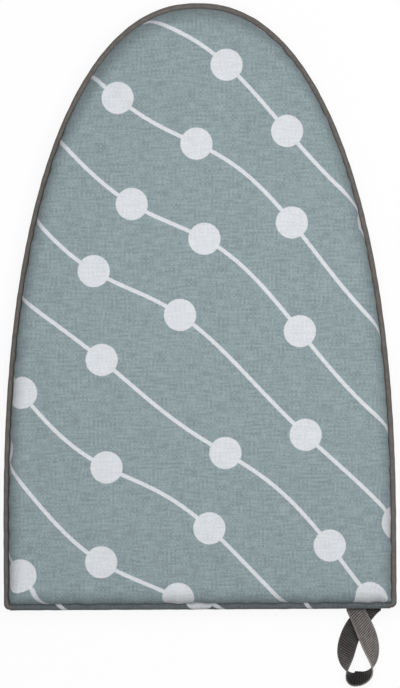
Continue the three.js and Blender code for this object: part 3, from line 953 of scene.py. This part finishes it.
share, sewn = np.linspace(0, 1, 500), np.linspace(SEWN, FOLD_START, 40)
runs = [sewn_end(1, sewn), half_loop(1, share), half_loop(-1, share[-2::-1]), sewn_end(-1, sewn[::-1])]
middle, across, up = (np.concatenate([run[part] for run in runs]) for part in range(3))
along = lengths(middle)
print(f"webbing: {along[-1]:.0f} mm from end to end")

# %% [markdown]
# A woven band rounds off at its edges. Its section, swept along a line, is a tube with a face at each
# end. The webbing and the strap are both made in this way.

# %% Section of a band
EDGE_ROUND = 0.6  # radius of a band's edge


def rounded_off(across, half, least=0.0):
    """What is left of a band's thickness towards its edges, which lie half from its middle."""
    past = np.maximum(abs(across) - (half - EDGE_ROUND), 0) / EDGE_ROUND
    return np.sqrt(np.clip(1 - past**2, least, 1))


def tube_faces(rows, columns):
    """The cells of a net that is closed round, and its two ends."""
    last = (rows - 1) * columns
    cells = [tuple(face) for face in net_faces(rows, columns, closed=True)]
    return cells + [tuple(range(columns))[::-1], tuple(range(last, last + columns))]


# %% [markdown]
# The ribs lean where the crossing halves pull the webbing askew, so the rib count is measured along
# the webbing plus a share of the way across it. The same count is the cut's second coordinate, which
# keeps the material's painted shade lines in the hollows of the mesh.

# %% Webbing mesh
LEAN_AT = (0, 22, 42, 58, 70, 84, 108, 135)  # along the webbing
LEAN = (0.45, 0.75, 0.45, 0.3, -0.05, -0.33, -0.4, -0.15)  # along, for each mm across
RIB_POINTS = np.linspace(-4.8, 4.8, 11)  # across the ribs
EDGE_POINTS = np.array((5.3, 5.7, 5.93, WEB_WIDTH / 2))  # across the selvedge
SELVEDGE = (4.6, 5.4)  # where the ribs end
# Half the thickness in a hollow, what a rib adds to it, and half the thickness at a selvedge.
HOLLOW, RIB_HEIGHT, SELVEDGE_HALF = 0.44, 0.2, 0.56

stations = np.linspace(0, along[-1], int(along[-1] / WEB_RIB * 8))
middle, across, up = (sampled(part, along, stations) for part in (middle, across, up))
w = np.concatenate([-EDGE_POINTS[::-1], RIB_POINTS, EDGE_POINTS])
face_side = np.concatenate([np.ones(len(w)), -np.ones(len(w) - 2)])
w = np.concatenate([w, w[-2:0:-1]])
lean = np.interp(stations, LEAN_AT, LEAN)
count = stations[:, None] + lean[:, None] * w[None]
rib = 0.5 + 0.5 * np.cos(2 * np.pi * count / WEB_RIB - np.pi)
selvedge = ease(abs(w), *SELVEDGE)
thick = (HOLLOW + RIB_HEIGHT * rib) * (1 - selvedge) + SELVEDGE_HALF * selvedge
thick = thick * rounded_off(w, WEB_WIDTH / 2)
points = middle[:, None] + across[:, None] * w[None, :, None] + up[:, None] * (thick * face_side)[..., None]
points += (LOOP_X, FOLD_Y, FOLD_Z)
cut = net(np.where(face_side > 0, w, w + REVERSE)[None], count)
faces = [face[::-1] for face in tube_faces(len(stations), len(w))]
loop = new_piece("hanging_webbing", points, faces, cut, webbing)
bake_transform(loop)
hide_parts("hanging_loop", "loop_end_upper", "loop_end_lower")
print(f"loop: {len(loop.data.polygons)} faces")

# %% [markdown]
# ## Hand strap
# The strap is wide elastic. In the middle it lies level on the table, on both sides it rises to the
# back, and each end is turned under, so that the sewn tabs are double. One line in the plane across the
# pad gives all of that.

# %% Line of the strap
STRAP_WIDTH, STRAP_THICK = 70.0, 1.7
STRAP_FLAT, TAB_START, TAB_END = 38.0, 68.0, 90.0
LOW_Z, TAB_Z, TURNED_Z = 0.9, 10.8, 12.6
TURN_GAP = 0.6  # from the end of the turned-under part to the start of the tab


def level_run(start, end, number, z):
    """A level stretch of the strap's line."""
    return np.column_stack([np.linspace(start, end, number), np.full(number, z)])


ramp_x = (STRAP_FLAT + TAB_START) / 2
knots = np.array([[STRAP_FLAT, LOW_Z], [ramp_x, LOW_Z], [ramp_x, TAB_Z], [TAB_START, TAB_Z]])
ramp = bezier(knots, np.linspace(0, 1, 30))
fold_radius = (TURNED_Z - TAB_Z) / 2
bend = np.linspace(-np.pi / 2, np.pi / 2, 11)[1:-1, None]
fold_middle = np.array([TAB_END - fold_radius - STRAP_THICK / 2, (TAB_Z + TURNED_Z) / 2])
fold = fold_middle + fold_radius * np.hstack([np.cos(bend), np.sin(bend)])
level = level_run(1.5, STRAP_FLAT, 20, LOW_Z)[:-1]
tab = level_run(TAB_START, fold_middle[0], 8, TAB_Z)[1:]
turned = level_run(fold_middle[0], TAB_START + TURN_GAP, 7, TURNED_Z)
half = np.concatenate([level, ramp, tab, fold, turned])
path = np.concatenate([half[::-1] * (-1, 1), half])
along = lengths(path)
print(f"strap: {along[-1]:.0f} mm of elastic")

# %% [markdown]
# The section is a closed ring of points, along one side of the elastic and back along the other, with
# the ribs as relief on both. It is swept along the line.

# %% Elastic mesh
RIB_DIP = 0.16  # how deep the hollows between the ribs are

way = unit(np.gradient(path, axis=0))
off = np.stack([-way[:, 1], way[:, 0]], 1)
y = np.linspace(-STRAP_WIDTH / 2, STRAP_WIDTH / 2, 161)
rib = 0.5 + 0.5 * np.cos(2 * np.pi * y / STRAP_RIB)
thick = (STRAP_THICK / 2 - RIB_DIP * (1 - rib)) * rounded_off(y, STRAP_WIDTH / 2, least=0.02)
y, thick = np.concatenate([y, y[::-1]]), np.concatenate([thick, -thick[::-1]])
points = net(path[:, :1] + off[:, :1] * thick, y[None], path[:, 1:] + off[:, 1:] * thick)
cut = net(y[None], along[:, None])
strap = new_piece("hand_elastic", points, tube_faces(len(path), len(y)), cut, elastic)
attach(strap, "pad")
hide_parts("hand_strap")
print(f"strap: {len(strap.data.polygons)} faces")

# %% [markdown]
# ## Stitches
# The strap's tabs are sewn down with a box and a cross, and the loop's ends with a short dense tack.
# A stitch is a bit of thread that comes up, lies on the cloth and goes down again, so it is a thin
# tube, arched and tapered. One function makes a row of them, and all the rows of a seam are one mesh.

# %% Rows of stitches
STITCH, STITCH_GAP, THREAD_RADIUS = 2.9, 0.8, 0.3
STITCH_POINTS, TUBE_SIDES = 9, 6
RING = np.linspace(0, 2 * np.pi, TUBE_SIDES + 1)[:-1]  # angles round a thread


def round_tube(sideways, out):
    """The directions round a thread, from two that are square to it."""
    return np.cos(RING)[None, :, None] * sideways + np.sin(RING)[None, :, None] * out


def stitch_row(start, end, out, stitch=STITCH, gap=STITCH_GAP):
    """Tubes of thread from start to end on a surface that faces out; points per stitch, in mm."""
    start, end, out = (np.array(v, float) for v in (start, end, out))
    way = end - start
    whole = np.linalg.norm(way)
    way /= whole
    sideways = np.cross(out, way)
    number = max(1, round(whole / (stitch + gap)))
    step = whole / number
    t = np.linspace(0, 1, STITCH_POINTS)
    arch = np.sin(np.pi * t) ** 0.5
    tube = (t * step * stitch / (stitch + gap))[:, None, None] * way
    # Both ends of a stitch dip into the cloth and are thinner.
    tube = tube + (THREAD_RADIUS * (1.2 * arch - 0.6))[:, None, None] * out
    tube = tube + (THREAD_RADIUS * (0.35 + 0.65 * arch))[:, None, None] * round_tube(sideways, out)
    return [start + i * step * way + tube for i in range(number)]


def stitches(name, rows, material):
    """One mesh of all the stitches in rows."""
    tubes = [tube for row in rows for tube in row]
    cells = net_faces(STITCH_POINTS, TUBE_SIDES, closed=True)[:, ::-1]
    faces = [cell + i * STITCH_POINTS * TUBE_SIDES for i in range(len(tubes)) for cell in cells]
    cut = net(np.arange(TUBE_SIDES)[None] * THREAD_RADIUS, np.linspace(0, STITCH, STITCH_POINTS)[:, None])
    made = new_piece(name, tubes, faces, [cut] * len(tubes), material)
    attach(made, "pad")
    return made


# %% [markdown]
# The thread is twisted polyester, paler than the elastic, so that the box and the cross show on it. They
# lie on the lower side of each tab, the one that is seen when the pad is turned over.

# %% Stitches on the strap
SEAM_HALF, SEAM_IN = 31.0, 3.0  # half the width of the sewn box, and how far in from the tab's ends
DOWN = (0, 0, -1)

thread = slanted_weave("Twisted polyester thread", "#4a4747", "#8a8685", 0.8, 0.6)
under = TAB_Z - STRAP_THICK / 2
rows = []
for side in (-1, 1):
    near, far = side * (TAB_START + SEAM_IN), side * (TAB_END - SEAM_IN)
    low, high = -SEAM_HALF, SEAM_HALF
    corners = [(x, y, under) for x, y in ((near, low), (far, low), (far, high), (near, high))]
    for a, b in ((0, 1), (1, 2), (2, 3), (3, 0), (0, 2), (1, 3)):
        rows.append(stitch_row(corners[a], corners[b], DOWN))
strap_thread = stitches("strap_stitches", rows, thread)
print(f"strap: {sum(map(len, rows))} stitches")

# %% [markdown]
# The loop's lower end lies on top when the pad is turned over, and two dense rows of short stitches
# hold both ends to the back there. The stitches lie side by side across the webbing, each a little
# askew, as a zigzag machine lays them.

# %% Tack on the loop's ends
TACKS = (5.0, 11.5)  # from the fold line
TACK_HALF, TACK_LENGTH, TACK_SLANT = 5.0, 2.2, 0.4
TACK_DEPTH = 0.62  # from the middle of the webbing to the stitches on it

tack_z = FOLD_Z - LAP - TACK_DEPTH
tack_x = LOOP_X + LOOP_SPLAY / 2 + np.linspace(-TACK_HALF, TACK_HALF, 15)
rows = []
for y in TACKS:
    start, end = FOLD_Y + y, FOLD_Y + y + TACK_LENGTH
    for x in tack_x:
        rows.append(stitch_row((x, start, tack_z), (x + TACK_SLANT, end, tack_z), DOWN, TACK_LENGTH, 0.0))
stitches("loop_tack", rows, thread)
print(f"loop: {len(rows)} stitches in two tacks")

# %% [markdown]
# ## Padding inside the cover
# Nothing of the padding shows while the pad is whole, but a cut through it does: needled felt, a
# metallised film that keeps steam from the hand, and foam. The felt and the film are drawn over the
# foam and end at the seam. Each layer is a closed stack of rings. Felt is a tangle of fibres, so its
# surface is fine noise drawn out one way; foam shows cut cells, which a Voronoi texture gives.


# %% Padding materials
def padding_finish(name, texture, grain, dark, pale, relief, metal=0.0, roughness=0.9):
    """A material whose colour and bump come from one texture, with grain and relief in mm."""
    material = empty_material(name)
    tree = material.node_tree
    spread = [1 / (size * MM) for size in grain]
    place = add(tree, "VectorMath", add(tree, "TexCoord").outputs["Object"], spread, operation="MULTIPLY")
    kind, settings = texture
    pattern = add(tree, kind, place, into=settings)
    colour = add(tree, "MixRGB", pattern.outputs[0], linear(dark), linear(pale))
    bump = add(tree, "Bump", into={"Height": pattern.outputs[0], "Distance": relief * MM, "Strength": 1.0})
    rough = add(tree, "MapRange", pattern.outputs[0], 0, 1, roughness, max(roughness - 0.15, 0.05))
    sockets = {"Base Color": colour, "Roughness": rough, "Normal": bump, "Metallic": metal}
    add(tree, "OutputMaterial", add(tree, "BsdfPrincipled", into=sockets))
    return material


fine = ("TexNoise", {"Scale": 1.0, "Detail": 4.0})
needled = padding_finish("Needled polyester felt", fine, (1.43, 1.43, 0.4), "#d9d4c8", "#f0ede5", 0.3)
cells = ("TexVoronoi", {"Scale": 1.0})
foam_cells = padding_finish("Open-cell foam", cells, (1.11, 1.11, 1.11), "#b9b5a4", "#e4e1d4", 0.5)
crinkled = padding_finish("Metallised film", fine, (6.25, 6.25, 6.25), "#b9bcc0", "#d6d8da", 0.2, 1.0, 0.35)
pressed = padding_finish("Pressed hardboard", fine, (2.0, 2.0, 8.33), "#77583a", "#977553", 0.05, 0.0, 0.7)
frame["nodes"]["core_board"].data.materials.clear()
frame["nodes"]["core_board"].data.materials.append(pressed)
print("padding materials made; the board keeps its solid")

# %% [markdown]
# Each layer is made by one function from the rounded edge of the cover, drawn in by the layers above
# it. The film is thin sheet, so it is also given the size of its flat cut, which the unrolled edge of
# its top gives.

# %% Padding layers
LAYER_CELL, LAYER_STEPS = 9.0, 7
COVER, FELT, FILM, FIT = 0.8, 3.0, 0.6, 0.3
FOAM_BOTTOM = 19.2
SQUEEZE = 1.16  # what keeps the padding under the cloth where that is drawn down


def padding_layer(name, node, depth, bottom, material):
    """A layer whose top lies depth under the face, closed by the rings of bottom, and its cut's size."""
    profile = bottom + rounded_edge(depth, LAYER_STEPS)
    points, faces, cut = ring_stack(profile, LAYER_CELL, caps=(True, True))
    drawn_down(points, SQUEEZE)
    layer = new_piece(name, points, faces, cut, material)
    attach(layer, "pad")
    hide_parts(node)
    return layer, cut_size(cut[len(bottom) * around : (len(bottom) + 1) * around])


felt_depth = COVER + FIT
film_depth = felt_depth + FELT + FIT
foam_depth = film_depth + FILM + FIT
under = rounded_edge(felt_depth + FELT, LAYER_STEPS)[::-1]
felt, _ = padding_layer("felt_sheet", "felt_layer", felt_depth, under, needled)
under = rounded_edge(film_depth + FILM, LAYER_STEPS)[::-1]
film, (film_flat, film_area) = padding_layer(
    "steam_film", "steam_barrier", film_depth, under, crinkled
)
under = [(inset, FOAM_BOTTOM) for inset in (EDGE_INSET, rounded_edge(foam_depth, LAYER_STEPS)[0][0])]
foam, _ = padding_layer("foam_block", "foam_layer", foam_depth, under, foam_cells)
print(f"felt, film and foam are in; film cut from {film_flat[0] / MM:.0f} by {film_flat[1] / MM:.0f} mm")

# %% [markdown]
# ## Piping cord
# Inside the bead lies a cotton cord of three strands. Three thin tubes that wind round the middle of
# the bead make it, and they show where a seam is opened.

# %% Piping cord
STRAND, STRAND_OUT, LAY = 0.52, 0.46, 7.0  # radius, distance from the middle, and length of one turn

core = finer(edge_line(BEAD / 2), 2)
way = unit(np.gradient(core, axis=0))
side = np.stack([-way[:, 1], way[:, 0], np.zeros(len(way))], 1)
core = np.column_stack([core, np.full(len(core), PIPING_Z)])
along = lengths(core)
up_z = np.array([0, 0, 1.0])
tubes, faces = [], []
for strand in range(3):
    turn = (2 * np.pi * (along / LAY + strand / 3))[:, None]
    middle = core + STRAND_OUT * (np.cos(turn) * side + np.sin(turn) * up_z)
    tubes.append(middle[:, None] + STRAND * round_tube(side[:, None], up_z))
    faces += list(net_faces(len(core), TUBE_SIDES, closed=True) + strand * len(core) * TUBE_SIDES)
cut = net(RING[None] * STRAND, along[:, None])
cotton_cord = slanted_weave("Twisted cotton cord", "#c2bdaf", "#e2ded2", 0.8, 0.9)
cord = new_piece("filler_cord", tubes, faces, [cut] * len(tubes), cotton_cord)
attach(cord, "pad")
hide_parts("piping_cord")
print(f"cord: {along[-1]:.0f} mm of three strands")
